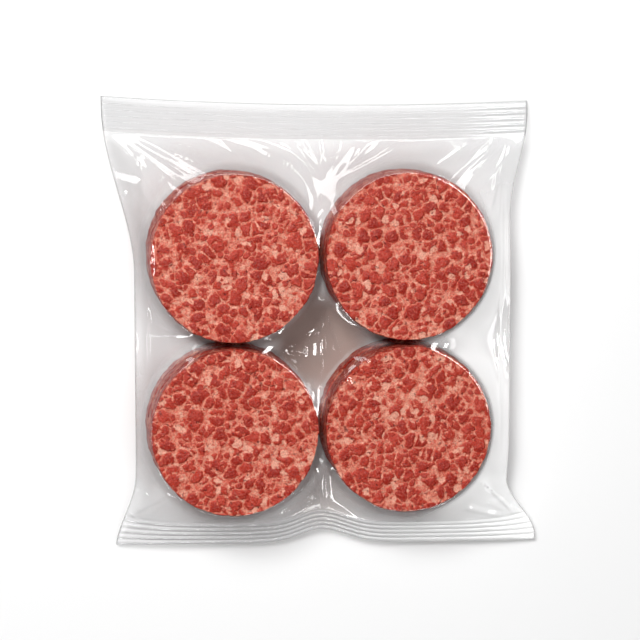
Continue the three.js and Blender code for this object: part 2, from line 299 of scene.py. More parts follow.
# Lamps: azimuth, elevation, distance, width and height in metres, and power
KEY_LAMP = (124, 51, 2.0, (0.8, 0.8), 49.0)
OVERHEAD_LAMP = (315, 78, 1.5, (1.6, 1.6), 13.5)
FILM_LAMP = (350, 40, 1.3, (0.8, 0.8), 14.0)
GLINT_LAMP = (110, 56, 1.2, (0.35, 0.35), 11.0)

SEED = 41


def lerp(start, end, share):
    return start + (end - start) * share


def smoothstep(value, low, high):
    share = np.clip((value - low) / (high - low), 0.0, 1.0)
    return share * share * (3.0 - 2.0 * share)


def stack_centres():
    sides = (-1, 1)
    return [(x * STACK_PITCH_X / 2, y * STACK_PITCH_Y / 2) for x in sides for y in sides]


# Outline of the bag, as functions of y or of the place across it, from -1 at the left to 1 at the right


def side_fold(y, side):
    """Place across the bag of its left fold, side -1, or right fold, side 1."""
    flare = 0 if side < 0 else 1
    head = smoothstep(y, HEAD_FLARE_START[flare], HEAD_EDGE - HEAD_SEAL_DEPTH / 4)
    foot = 1.0 - smoothstep(y, FOOT_EDGE, FOOT_FLARE_START[flare])
    waist = WAIST_SHIFT + side * WAIST_HALF_WIDTH
    to_head = HEAD_SHIFT + side * HEAD_HALF_WIDTH - waist
    to_foot = FOOT_SHIFT + side * FOOT_HALF_WIDTH - waist
    return waist + to_head * head + to_foot * foot


def half_width(y):
    return (side_fold(y, 1) - side_fold(y, -1)) / 2


def side_shift(y):
    return (side_fold(y, 1) + side_fold(y, -1)) / 2


def fold_height(y):
    head = smoothstep(y, HEAD_FLARE_START[0], HEAD_EDGE - HEAD_SEAL_DEPTH)
    foot = 1.0 - smoothstep(y, FOOT_EDGE + FOOT_CORNER_SEAL_DEPTH, FOOT_FLARE_START[0] + FOLD_LEAD)
    head_height = HEAD_SEAL_INNER_HEIGHT - HEAD_CORNER_DROP
    return lerp(lerp(WAIST_FOLD_HEIGHT, head_height, head), FOOT_CORNER_INNER_HEIGHT, foot)


def head_edge(across):
    x = across * HEAD_HALF_WIDTH + HEAD_SHIFT
    return HEAD_EDGE + HEAD_EDGE_SLANT * x - HEAD_EDGE_SAG * (1.0 - across**2)


def head_seal_height(across, inward):
    middle = lerp(HEAD_SEAL_OUTER_HEIGHT, HEAD_SEAL_INNER_HEIGHT, inward)
    return middle - HEAD_CORNER_DROP * across**4


def foot_edge(across):
    x = across * FOOT_HALF_WIDTH + FOOT_SHIFT
    kink = np.exp(-(((x - FOOT_KINK_X) / FOOT_KINK_WIDTH) ** 2))
    return FOOT_EDGE + FOOT_EDGE_SLANT * x + FOOT_KINK_DEPTH * kink


def foot_seal_depth(across):
    return lerp(FOOT_SEAL_DEPTH, FOOT_CORNER_SEAL_DEPTH, across**6)


def foot_seal_height(across, inward):
    corner = across**6
    outer = lerp(FOOT_SEAL_OUTER_HEIGHT, FOOT_CORNER_OUTER_HEIGHT, corner)
    inner = lerp(FOOT_SEAL_INNER_HEIGHT, FOOT_CORNER_INNER_HEIGHT, corner)
    return lerp(outer, inner, inward)


def distance_to_stack(x, y):
    distances = [np.hypot(x - cx, y - cy) for cx, cy in stack_centres()]
    return np.minimum.reduce(distances) - STACK_RADIUS


def edge_drop(x, y):
    reach = np.clip(distance_to_stack(x, y) + STACK_EDGE_ROUND, 0.0, STACK_EDGE_ROUND)
    return STACK_EDGE_ROUND - np.sqrt(STACK_EDGE_ROUND**2 - reach**2)


# Taut corners: outside the stacks the film runs straight from their rims to the edge of the body


def corner_edge(x, y, centre, side_x, side_y):
    """Distance and height of the body's edge, seen from a stack's centre through (x, y)."""
    away = np.maximum(np.hypot(x - centre[0], y - centre[1]), 1.0)
    run_x = np.maximum(side_x * (x - centre[0]) / away, LEAST_RUN)
    run_y = np.maximum(side_y * (y - centre[1]) / away, LEAST_RUN)
    seal_shift = HEAD_SHIFT if side_y > 0 else FOOT_SHIFT
    seal_half_width = HEAD_HALF_WIDTH if side_y > 0 else FOOT_HALF_WIDTH
    to_side = np.full_like(x, STACK_RADIUS)
    to_seal = to_side.copy()
    for _ in range(EDGE_STEPS):
        side_hit = np.clip(centre[1] + side_y * run_y * to_side, FOOT_EDGE, HEAD_EDGE)
        to_side = (side_x * side_shift(side_hit) + half_width(side_hit) - abs(centre[0])) / run_x
        across = centre[0] + side_x * run_x * to_seal - seal_shift
        across = np.clip(across / seal_half_width, -1.0, 1.0)
        seal_hit = head_edge(across) - HEAD_SEAL_DEPTH
        if side_y < 0:
            seal_hit = -foot_edge(across) - foot_seal_depth(across)
        to_seal = (seal_hit - abs(centre[1])) / run_y
    seal_height = head_seal_height(across, 1.0) if side_y > 0 else foot_seal_height(across, 1.0)
    first = to_side < to_seal
    return np.minimum(to_side, to_seal), np.where(first, fold_height(side_hit), seal_height)


def taut_corners(x, y, sheet):
    """Blend the sheet into straight lines from the rims of the stacks outward to the four corners."""
    for centre in stack_centres():
        side_x, side_y = np.sign(centre)
        out_x, out_y = side_x * (x - centre[0]), side_y * (y - centre[1])
        distance, height = corner_edge(x, y, centre, side_x, side_y)
        share = np.clip((np.hypot(out_x, out_y) - STACK_RADIUS) / (distance - STACK_RADIUS), 0.0, 1.0)
        heading = np.degrees(np.arctan2(out_y, out_x))
        weight = smoothstep(heading, *CORNER_START) * (1.0 - smoothstep(heading, *CORNER_END))
        straight = lerp(STACK_HEIGHT - RIM_DROP, height, share)
        sheet = lerp(sheet, straight, weight * (out_x > 0) * (out_y > 0))
    return sheet


# Folds of the upper sheet


def fold(x, y, start, end, width, height, sharpness=FOLD_SHARPNESS):
    """Relief of one fold: a crest between two points, or a furrow where the height is negative."""
    along = np.array(end, float) - np.array(start, float)
    length = np.hypot(*along)
    along /= length
    forward = ((x - start[0]) * along[0] + (y - start[1]) * along[1]) / length
    sideways = (x - start[0]) * along[1] - (y - start[1]) * along[0]
    inside = (forward > 0) & (forward < 1)
    fade = np.sin(math.pi * np.clip(forward, 0.0, 1.0)) ** FOLD_FADE
    return np.where(inside, height * fade * np.exp(-(np.abs(sideways / width) ** sharpness)), 0.0)


def pleat(x, y, start, end, width, height):
    """Relief of a pleat: a broad flat facet that widens from start to end, and a steep one beyond it.

    The broad facet is on the left of the line, or on the right where the width is negative.
    """
    along = np.array(end, float) - np.array(start, float)
    length = np.hypot(*along)
    along /= length
    forward = ((x - start[0]) * along[0] + (y - start[1]) * along[1]) / length
    sideways = ((y - start[1]) * along[0] - (x - start[0]) * along[1]) * math.copysign(1.0, width)
    reach = abs(width) * np.clip(lerp(PLEAT_START, 1.0, forward), PLEAT_START, 1.0)
    broad = np.clip(1.0 - sideways / reach, 0.0, 1.0)
    steep = np.clip(1.0 + sideways / (STEEP_SHARE * reach), 0.0, 1.0)
    fade = smoothstep(forward, 0.0, PLEAT_RISE) * (1.0 - smoothstep(forward, PLEAT_FALL, 1.0))
    return height * fade * np.where(sideways > 0, broad, steep) * (reach / abs(width))


# Pleats, each from a corner or a pucker outward: start, end, width and height
PLEATS = (
    ((-116, 127), (-58, 97), 12, 2.6),
    ((-119, 124), (-78, 92), 9, 2.0),
    ((-121, 120), (-94, 70), 8, 1.8),
    ((-66, 127), (-38, 104), 7, 1.6),
    ((115, 127), (72, 94), -10, 2.4),
    ((104, 126), (62, 104), -7, 1.8),
    ((119, 122), (100, 74), -8, 2.0),
    ((3, 96), (-17, 122), -7, 2.0),
    ((9, 98), (52, 121), 8, 2.2),
    ((8, 96), (30, 121), 6, 1.6),
    ((4, 96), (1, 123), 5, 1.4),
    ((2, -94), (-30, -110), -8, 2.2),
    ((6, -94), (36, -108), 7, 1.8),
    ((-110, -111), (-86, -84), 8, 2.0),
    ((-112, -108), (-104, -72), 6, 1.6),
    ((-104, -112), (-76, -103), 5, 1.2),
    ((124, -112), (98, -84), -8, 2.2),
    ((126, -108), (112, -70), -7, 1.8),
    ((118, -113), (86, -103), -5, 1.4),
)


def main_folds(x, y):
    """The broad folds, which the solid bag has too."""
    relief = np.zeros_like(x)
    for start, end, width, height in PLEATS:
        relief += pleat(x, y, start, end, width, height)
    relief += fold(x, y, (FURROW_X, -FURROW_REACH), (FURROW_X, FURROW_REACH), FURROW_WIDTH, -FURROW_DEPTH)
    return relief


# Sharp creases in the corners and where the film is drawn in: start, end, width and height
CREASES = (
    ((120, 127), (77, 108), 2.5, 1.0),
    ((120, 126), (83, 101), -2.5, 1.0),
    ((121, 122), (117, 84), 2.5, 0.9),
    ((112, 118), (104, 88), 2.0, 0.7),
    ((113, 122), (109, 72), -2.5, 1.0),
    ((-117, 128), (-66, 106), 3.0, 1.2),
    ((-118, 126), (-80, 98), -3.0, 1.0),
    ((-119, 124), (-96, 84), 2.5, 0.9),
    ((-112, 128), (-52, 112), 2.5, 0.8),
    ((8, 97), (40, 122), 2.5, 1.0),
    ((6, 98), (-12, 124), -2.5, 0.9),
    ((7, 98), (16, 124), 2.0, 0.8),
    ((8, 95), (60, 112), 2.5, 0.8),
    ((4, 96), (-40, 118), -2.5, 0.9),
    ((1, 26), (13, -9), 5.0, 2.2),
    ((11, -8), (29, -10), -4.0, 1.8),
    ((9, -2), (15, -27), 4.0, 1.6),
    ((3, 14), (-10, 1), -3.0, 1.2),
    ((-26, -2), (-8, -6), 5.0, 1.8),
    ((-24, -6), (-14, -14), 4.0, 1.4),
    ((1, -68), (4, -97), 4.0, 1.8),
    ((-2, -98), (-38, -107), 5.0, 1.6),
    ((8, -97), (44, -106), -5.0, 1.6),
    ((4, 30), (1, 12), 2.5, 1.0),
    ((6, -88), (2, -103), 4.0, 1.2),
    ((4, -93), (-24, -103), 3.0, 1.2),
    ((9, -94), (30, -101), -3.0, 1.1),
)


# Fans: the point they spread from, the headings they lie between, their number and their reach
FANS = (
    ((-121, 129), -90, -12, 12, 60),
    ((123, 127), -170, -85, 10, 56),
    ((-116, -112), 10, 95, 8, 36),
    ((130, -114), 85, 170, 8, 36),
    ((5, 96), 20, 160, 9, 34),
    ((4, -92), -160, -20, 8, 26),
)


def fan_folds(x, y, draw):
    """Fine creases that spread from the corners and from where the film is drawn in."""
    relief = np.zeros_like(x)
    for apex, low, high, count, reach in FANS:
        for step in range(count):
            heading = math.radians(lerp(low, high, (step + draw.uniform(*FAN_JITTER)) / count))
            start = draw.uniform(*FAN_START) * reach
            end = draw.uniform(*FAN_END) * reach
            first = (apex[0] + start * math.cos(heading), apex[1] + start * math.sin(heading))
            last = (apex[0] + end * math.cos(heading), apex[1] + end * math.sin(heading))
            height = draw.uniform(*FAN_HEIGHT) * draw.choice((-1, 1))
            width = draw.uniform(*FAN_WIDTH) * draw.choice((-1, 1))
            relief += pleat(x, y, first, last, width, height)
    return relief


def side_folds(x, y, draw):
    """Fine folds lengthwise along both sides of the bag."""
    relief = np.zeros_like(x)
    for side, count in SIDE_FOLD_COUNTS:
        for _ in range(count):
            middle = draw.uniform(*SIDE_FOLD_MIDDLE)
            reach = draw.uniform(*SIDE_FOLD_REACH)
            place = WAIST_SHIFT + side * (WAIST_HALF_WIDTH - draw.uniform(*SIDE_FOLD_INSET))
            height = draw.uniform(*SIDE_FOLD_HEIGHT)
            lean = draw.uniform(-SIDE_FOLD_LEAN, SIDE_FOLD_LEAN)
            first = (place, max(middle - reach, SIDE_FOLD_ENDS[0]))
            last = (place + lean, min(middle + reach, SIDE_FOLD_ENDS[1]))
            width = draw.uniform(*SIDE_FOLD_WIDTH)
            relief += fold(x, y, first, last, width, height, SIDE_FOLD_SHARPNESS)
    return relief


def fine_folds(x, y):
    """Narrow creases, which the solid bag doesn't have."""
    relief = np.zeros_like(x)
    for start, end, width, height in CREASES:
        relief += pleat(x, y, start, end, width, height)
    draw = np.random.default_rng(SEED)
    relief += fan_folds(x, y, draw)
    relief += side_folds(x, y, draw)
    return relief


# Grid of the film


def film_rows():
    """(part, share) for each row of points: foot seal, body, head seal."""
    foot_steps = FOOT_SEAL_RIDGES * ROWS_PER_RIDGE
    head_steps = HEAD_SEAL_RIDGES * ROWS_PER_RIDGE
    rows = [("foot", step / foot_steps) for step in range(foot_steps)]
    rows += [("body", step / FILM_BODY_ROWS) for step in range(FILM_BODY_ROWS + 1)]
    rows += [("head", step / head_steps) for step in reversed(range(head_steps))]
    return rows


def ridge_wave(inward, ridges):
    """Crimp of a seal: parallel ridges with broad crests and narrow valleys."""
    return RIDGE_HEIGHT * (2.0 * np.abs(np.sin(math.pi * ridges * inward)) ** RIDGE_BREADTH - 1.0)


def film_grid():
    """x, y, the heights where the film is held, and which points are free."""
    across = np.linspace(-1.0, 1.0, FILM_COLUMNS + 1)
    rows = film_rows()
    shape = (len(rows), len(across))
    y, held, free = np.zeros(shape), np.zeros(shape), np.zeros(shape, bool)
    inner_foot = foot_edge(across) + foot_seal_depth(across)
    inner_head = head_edge(across) - HEAD_SEAL_DEPTH
    for at, (part, share) in enumerate(rows):
        if part == "foot":
            y[at] = lerp(foot_edge(across), inner_foot, share)
            held[at] = foot_seal_height(across, share) + ridge_wave(share, FOOT_SEAL_RIDGES)
        elif part == "head":
            y[at] = lerp(head_edge(across), inner_head, share)
            held[at] = head_seal_height(across, share) + ridge_wave(share, HEAD_SEAL_RIDGES)
        else:
            y[at] = lerp(inner_foot, inner_head, share)
            held[at] = fold_height(y[at])
            free[at, 1:-1] = 0 < share < 1
            if share == 0:
                held[at] = foot_seal_height(across, 1.0)
            if share == 1:
                held[at] = head_seal_height(across, 1.0)
    x = side_shift(y) + half_width(y) * across
    return x, y, held, free


def neighbour_weights(x, y):
    """Weights of the four neighbours of each inner point in a stretched sheet, and their sum."""
    across = np.hypot(np.diff(x, axis=1), np.diff(y, axis=1))
    along = np.hypot(np.diff(x, axis=0), np.diff(y, axis=0))
    west, east = across[1:-1, :-1], across[1:-1, 1:]
    south, north = along[:-1, 1:-1], along[1:, 1:-1]
    weights = [
        2 / ((west + east) * west),
        2 / ((west + east) * east),
        2 / ((south + north) * south),
        2 / ((south + north) * north),
    ]
    return weights, sum(weights)


def stretch(sheet, x, y, free, floor, roof, load, sweeps):
    """Pull a sheet tight between its held points, over the floor and under the roof, by relaxation."""
    weights, total = neighbour_weights(x, y)
    row, column = np.indices(sheet.shape)
    colours = [((row + column) % 2 == odd)[1:-1, 1:-1] & free[1:-1, 1:-1] for odd in (0, 1)]
    inner = sheet[1:-1, 1:-1]
    for _ in range(sweeps):
        for colour in colours:
            pulled = (
                weights[0] * sheet[1:-1, :-2]
                + weights[1] * sheet[1:-1, 2:]
                + weights[2] * sheet[:-2, 1:-1]
                + weights[3] * sheet[2:, 1:-1]
                - load
            ) / total
            moved = inner + RELAX_GAIN * (pulled - inner)
            moved = np.clip(moved, floor[1:-1, 1:-1], roof[1:-1, 1:-1])
            inner[colour] = moved[colour]
    return sheet


def stretched(held, x, y, free, floor, roof, load, start):
    """stretch(), from a coarse solution to the full grid."""
    sheet = np.where(free, start, held)
    for step in COARSE_STEPS:
        rows = np.unique(np.r_[0 : sheet.shape[0] : step, sheet.shape[0] - 1, free_rows(free)])
        columns = np.unique(np.r_[0 : sheet.shape[1] : step, 1, sheet.shape[1] - 2, sheet.shape[1] - 1])
        pick = np.ix_(rows, columns)
        coarse = stretch(
            sheet[pick].copy(), x[pick], y[pick], free[pick], floor[pick], roof[pick], load, RELAX_SWEEPS
        )
        sheet = spread_out(coarse, rows, columns, sheet, free)
    return sheet


def free_rows(free):
    """The rows at both ends of the free part and just outside it."""
    rows = np.flatnonzero(free.any(axis=1))
    return [rows[0] - 1, rows[0], rows[-1], rows[-1] + 1]


def spread_out(coarse, rows, columns, sheet, free):
    """Carry a coarse solution over to the free points of the full grid."""
    along = np.stack([np.interp(np.arange(sheet.shape[0]), rows, line) for line in coarse.T], axis=1)
    full = np.stack([np.interp(np.arange(sheet.shape[1]), columns, line) for line in along], axis=0)
    return np.where(free, full, sheet)


def film_sheets():
    """x, y and the heights of the upper and lower sheet."""
    x, y, held, free = film_grid()
    on_stack = distance_to_stack(x, y) < 0
    drop = edge_drop(x, y)
    base = np.zeros(x.shape)
    top = np.full(x.shape, STACK_HEIGHT)
    floor = np.where(on_stack, top - drop, base)
    roof = np.where(on_stack, drop, top) + BASE_CLEARANCE
    seal = SEAL_THICKNESS / 2
    side = np.zeros(x.shape, bool)
    side[:, [0, -1]] = True
    upper_held = np.where(side, held, held + seal)
    lower_held = np.where(side, held, held - seal)
    upper = stretched(upper_held, x, y, free, floor, top + TOP_CLEARANCE, FILM_SAG_LOAD, STACK_HEIGHT)
    lower = stretched(lower_held, x, y, free, base + BASE_CLEARANCE, roof, 0.0, 0.0)
    upper = np.where(free, taut_corners(x, y, upper), upper)
    relief = main_folds(x, y) + fine_folds(x, y)
    lowest = np.maximum(floor, lower + SEAL_THICKNESS)
    upper = np.where(free, np.maximum(upper + relief, lowest), upper)
    return x, y, upper, lower


def carry(made, name, values):
    """Give each point of a mesh a value that its material can read."""
    carried = made.data.attributes.new(name, "FLOAT", "POINT")
    carried.data.foreach_set("value", np.asarray(values, np.float32))


def bag_offset(x, y):
    """From the middle of the four stacks to the middle of the bag's box."""
    return (x.min() + x.max()) / 2, (y.min() + y.max()) / 2


def mesh_object(name, points, faces, material):
    mesh = bpy.data.meshes.new(name)
    mesh.from_pydata(points, [], faces)
    mesh.validate()
    mesh.shade_smooth()
    mesh.materials.append(material)
    made = bpy.data.objects.new(name, mesh)
    bpy.context.scene.collection.objects.link(made)
    return made


def painted_gap_shade(x, y):
    """Where shade is painted onto the film: between the four stacks, and less so beside the foot seal."""
    middle = 1.0 - smoothstep(np.hypot(x, y), *GAP_SHADE_MIDDLE_FADE)
    from_foot = np.hypot(x - GAP_SHADE_FOOT_PLACE[0], y - GAP_SHADE_FOOT_PLACE[1])
    foot = 1.0 - smoothstep(from_foot, *GAP_SHADE_FOOT_FADE)
    return (middle + GAP_SHADE_FOOT_SHARE * foot) * smoothstep(distance_to_stack(x, y), *GAP_SHADE_RIM_FADE)


def film_marks(x, y):
    """What the film's material reads at each point: shares of haze, seal, slack film and painted shade.
    """
    # Painted shade: the film made darker and redder between the stacks and beside the foot seal
    gap_shade = painted_gap_shade(x, y)
    sealed = np.repeat([float(part != "body") for part, _ in film_rows()], x.shape[1]).reshape(x.shape)
    slack = smoothstep(x, *SLACK_SIDE) * (1.0 - SLACK_HEAD_LOSS * smoothstep(y, *SLACK_HEAD))
    away = distance_to_stack(x, y)
    loose_cloud = LOOSE_CLOUD * smoothstep(away, *LOOSE_FADE)
    slack_cloud = SLACK_CLOUD * smoothstep(away, *SLACK_FADE)
    body_cloud = lerp(loose_cloud, slack_cloud, slack) * (1.0 - np.minimum(gap_shade, 1.0))
    foot_cloud = lerp(*FOOT_CLOUD, smoothstep(x, *FOOT_SIDE))
    seal_cloud = np.where(y < 0, foot_cloud, HEAD_CLOUD)
    return {
        "cloud": lerp(body_cloud, seal_cloud, sealed),
        "seal": sealed,
        "slack": slack * (1.0 - sealed),
        "gap_shade": gap_shade,
    }


def make_film(sheets, offset, material):
    """One closed skin: the upper sheet full fine, the lower half as fine, sharing the outer edge."""
    x, y, upper, lower = sheets
    row_count, column_count = x.shape
    upper_index = np.arange(row_count * column_count).reshape(x.shape)
    points = [np.stack([x - offset[0], y - offset[1], upper], axis=2).reshape(-1, 3)]
    lower_index = upper_index.copy()
    inner = np.zeros(x.shape, bool)
    inner[2:-2:2, 2:-2:2] = True
    lower_index[inner] = row_count * column_count + np.arange(inner.sum())
    points.append(np.stack([x - offset[0], y - offset[1], lower], axis=2)[inner])
    faces = quads(upper_index)
    faces += lower_faces(lower_index, row_count, column_count)
    film = mesh_object("film", np.concatenate(points) * MM, faces, material)
    for name, shares in film_marks(x, y).items():
        carry(film, name, np.r_[shares.ravel(), shares[inner]])
    return film


def quads(index):
    corners = [index[:-1, :-1], index[:-1, 1:], index[1:, 1:], index[1:, :-1]]
    return np.stack(corners, axis=2).reshape(-1, 4).tolist()


def lower_faces(index, row_count, column_count):
    """Cells of the lower sheet, two steps wide, taking in the points of the outer edge between them."""
    faces = []
    for row in range(0, row_count - 1, 2):
        for column in range(0, column_count - 1, 2):
            ring = [(row, column), (row + 2, column), (row + 2, column + 2), (row, column + 2)]
            face = []
            for at, spot in enumerate(ring):
                face.append(int(index[spot]))
                other = ring[(at + 1) % 4]
                middle = ((spot[0] + other[0]) // 2, (spot[1] + other[1]) // 2)
                outer = middle[0] in (0, row_count - 1) or middle[1] in (0, column_count - 1)
                if outer:
                    face.append(int(index[middle]))
            faces.append(face)
    return faces


# Burgers


def disc_grid(steps):
    """Points of a unit disc as a square grid pressed round, row by row."""
    side = np.linspace(-1.0, 1.0, steps + 1)
    u, v = np.meshgrid(side, side)
    return u * np.sqrt(1.0 - v**2 / 2), v * np.sqrt(1.0 - u**2 / 2)


def rim_ring(last):
    """Grid spots of the disc's rim, counterclockwise, given the last row."""
    ring = [(0, at) for at in range(last)]
    ring += [(at, last) for at in range(last)]
    ring += [(last, at) for at in range(last, 0, -1)]
    ring += [(at, 0) for at in range(last, 0, -1)]
    return ring


def patty_shape(steps, side_rows, radius, thickness):
    """Points and faces of a round patty with flat faces and a bulging side, base at z 0."""
    u, v = disc_grid(steps)
    flat = radius - PATTY_EDGE_ROUND * FACE_END
    count = (steps + 1) ** 2
    index = np.arange(count).reshape(steps + 1, steps + 1)
    ring = rim_ring(steps)
    top = np.stack([u * flat, v * flat, np.full(u.shape, thickness)], axis=2).reshape(-1, 3)
    base = np.stack([u * flat, v * flat, np.zeros(u.shape)], axis=2).reshape(-1, 3)
    points = [top, base]
    faces = quads(index) + [face[::-1] for face in quads(index + count)]
    rim = np.array([(u[spot], v[spot]) for spot in ring])
    rim /= np.hypot(rim[:, 0], rim[:, 1])[:, None]
    loops = [[index[spot] for spot in ring]]
    for row in range(1, side_rows):
        turn = math.pi * row / side_rows
        out = flat + (radius - flat) * math.sin(turn) ** BULGE_OUTWARD
        rise = math.copysign(abs(math.cos(turn)) ** BULGE_UPWARD, math.cos(turn))
        level = thickness / 2 + thickness / 2 * rise
        loops.append(list(range(2 * count + (row - 1) * len(ring), 2 * count + row * len(ring))))
        points.append(np.column_stack([rim * out, np.full(len(ring), level)]))
    loops.append([index[spot] + count for spot in ring])
    for high, low in zip(loops, loops[1:]):
        for at in range(len(ring)):
            after = (at + 1) % len(ring)
            faces.append([int(high[at]), int(low[at]), int(low[after]), int(high[after])])
    return np.concatenate(points), faces


class Nodes:
    """Short ways to add and join nodes in a shader or geometry tree."""

    def __init__(self, tree):
        self.tree = tree

    def add(self, kind, **settings):
        node = self.tree.nodes.new(kind)
        for name, value in settings.items():
            setattr(node, name, value)
        return node

    def join(self, source, target):
        if isinstance(source, (int, float, tuple)):
            target.default_value = source
        else:
            self.tree.links.new(source, target)

    def attribute(self, name):
        return self.add("ShaderNodeAttribute", attribute_name=name).outputs["Fac"]

    def math(self, operation, first, second=0.0, third=0.0):
        node = self.add("ShaderNodeMath", operation=operation)
        for value, socket in zip((first, second, third), node.inputs):
            self.join(value, socket)
        return node.outputs[0]

    def vector(self, operation, first, second):
        """Vector arithmetic. SCALE takes a number as its second value, the others a vector."""
        node = self.add("ShaderNodeVectorMath", operation=operation)
        self.join(first, node.inputs[0])
        self.join(second, node.inputs["Scale"] if operation == "SCALE" else node.inputs[1])
        return node.outputs[0]

    def noise(self, place, size, detail=2.0, roughness=0.5):
        """Smooth noise with features of a size in millimetres: value and colour."""
        node = self.add("ShaderNodeTexNoise")
        self.join(place, node.inputs["Vector"])
        node.inputs["Scale"].default_value = 1.0 / (size * MM)
        node.inputs["Detail"].default_value = detail
        node.inputs["Roughness"].default_value = roughness
        return node.outputs[0], node.outputs[1]

    def cells(self, place, size):
        """Cells of a size in millimetres: distance to the centre and to the edge, and a colour."""
        found = {}
        for feature in ("F1", "DISTANCE_TO_EDGE"):
            node = self.add("ShaderNodeTexVoronoi", feature=feature)
            self.join(place, node.inputs["Vector"])
            node.inputs["Scale"].default_value = 1.0 / (size * MM)
            found[feature] = node.outputs
        return found["F1"]["Distance"], found["DISTANCE_TO_EDGE"]["Distance"], found["F1"]["Color"]

    def ramp(self, value, low, high, start=0.0, end=1.0):
        node = self.add("ShaderNodeMapRange", interpolation_type="SMOOTHSTEP")
        self.join(value, node.inputs["Value"])
        node.inputs["From Min"].default_value = low
        node.inputs["From Max"].default_value = high
        node.inputs["To Min"].default_value = start
        node.inputs["To Max"].default_value = end
        return node.outputs["Result"]

    def channel(self, colour, name):
        node = self.add("ShaderNodeSeparateXYZ")
        self.join(colour, node.inputs[0])
        return node.outputs[name]

    def blend(self, share, first, second):
        node = self.add("ShaderNodeMix", data_type="RGBA")
        self.join(share, node.inputs["Factor"])
        for name, value in (("A", first), ("B", second)):
            self.join(value, [at for at in node.inputs if at.name == name and at.type == "RGBA"][0])
        return [at for at in node.outputs if at.type == "RGBA"][0]

    def mixed(self, base, share, over):
        """A shader that is a share of one over another."""
        node = self.add("ShaderNodeMixShader")
        for source, socket in zip((share, base, over), node.inputs):
            self.join(source, socket)
        return node.outputs[0]


def lumps(nodes, place, ragged, size, share):
    """Round lumps, lean in a share of the cells and fat in the rest: depth in each, dome and tone."""
    centre, edge, colour = nodes.cells(place, size)
    lean_cell = nodes.ramp(nodes.channel(colour, "X"), share + LEAN_CELL_BLUR, share - LEAN_CELL_BLUR)
    inside = nodes.ramp(nodes.math("MULTIPLY_ADD", ragged, RAGGED_EDGE, edge), *EDGE_BAND)
    rounded = nodes.ramp(nodes.math("MULTIPLY_ADD", ragged, RAGGED_ROUND, centre), *ROUND_BAND)
    depth = nodes.math("MULTIPLY", inside, rounded)
    lean = nodes.math("MULTIPLY", depth, lean_cell)
    dome = nodes.math("MULTIPLY", nodes.ramp(centre, *DOME_BAND), lean_cell)
    return {"lean": lean, "fat": nodes.math("SUBTRACT", depth, lean), "dome": dome, "tone": colour}


def mince_pattern(nodes, place):
    """Coarse mince: depth in lumps of lean and of fat, domes of the lumps, and a tone for each lump."""
    stir = nodes.vector("SUBTRACT", nodes.noise(place, STIR_SIZE)[1], (0.5, 0.5, 0.5))
    stirred = nodes.vector("ADD", place, nodes.vector("SCALE", stir, STIR_REACH * MM))
    ragged = nodes.math("SUBTRACT", nodes.noise(place, RAGGED_SIZE, detail=3.0)[0], 0.5)
    lump = lumps(nodes, stirred, ragged, LUMP_SIZE, LUMP_LEAN)
    crumb = lumps(nodes, stirred, ragged, CRUMB_SIZE, CRUMB_LEAN)
    bits = lumps(nodes, stirred, ragged, FAT_BIT_SIZE, FAT_BIT_LEAN)
    crumb_lean = nodes.math("MULTIPLY", crumb["lean"], CRUMB_DEPTH)
    whole = nodes.math("SUBTRACT", 1.0, bits["fat"])
    crumb_fat = nodes.math("MULTIPLY", crumb["fat"], nodes.ramp(lump["lean"], *CRUMB_FAT_BAND))
    return {
        "lean": nodes.math("MULTIPLY", nodes.math("MAXIMUM", lump["lean"], crumb_lean), whole),
        "fat": nodes.math("MAXIMUM", bits["fat"], nodes.math("MULTIPLY", crumb_fat, CRUMB_FAT)),
        "dome": nodes.math("MULTIPLY_ADD", crumb["dome"], CRUMB_DOME, lump["dome"]),
        "tone": nodes.channel(lump["tone"], "Y"),
    }


def lean_colour(nodes, place, grain, mince):
    """The web between the lumps, and the lumps with their pale edges and darker cores."""
    blotch = nodes.noise(place, BLOTCH_SIZE, detail=3.0)[0]
    web = nodes.blend(nodes.ramp(grain, *WEB_PINK_BAND), LEAN_PALE, FAT_PINK)
    web = nodes.blend(nodes.ramp(grain, *WEB_CREAM_BAND), web, FAT_CREAM)
    core = nodes.blend(nodes.ramp(mince["tone"], *TONE_BAND), LEAN_DARK, LEAN_MIDDLE)
    core = nodes.blend(nodes.ramp(blotch, *BLOTCH_BAND), core, LEAN_DARK)
    core = nodes.blend(nodes.ramp(grain, *PALE_GRAIN_BAND, 0.0, PALE_GRAIN), core, LEAN_PALE)
    fray = nodes.math("SUBTRACT", grain, 0.5)
    lean = nodes.math("MULTIPLY_ADD", fray, GRAIN_IN_LEAN, mince["lean"])
    colour = nodes.blend(nodes.ramp(lean, *LEAN_PALE_BAND), web, LEAN_PALE)
    colour = nodes.blend(nodes.ramp(lean, *LEAN_MIDDLE_BAND), colour, LEAN_MIDDLE)
    return nodes.blend(nodes.ramp(lean, *LEAN_CORE_BAND), colour, core)


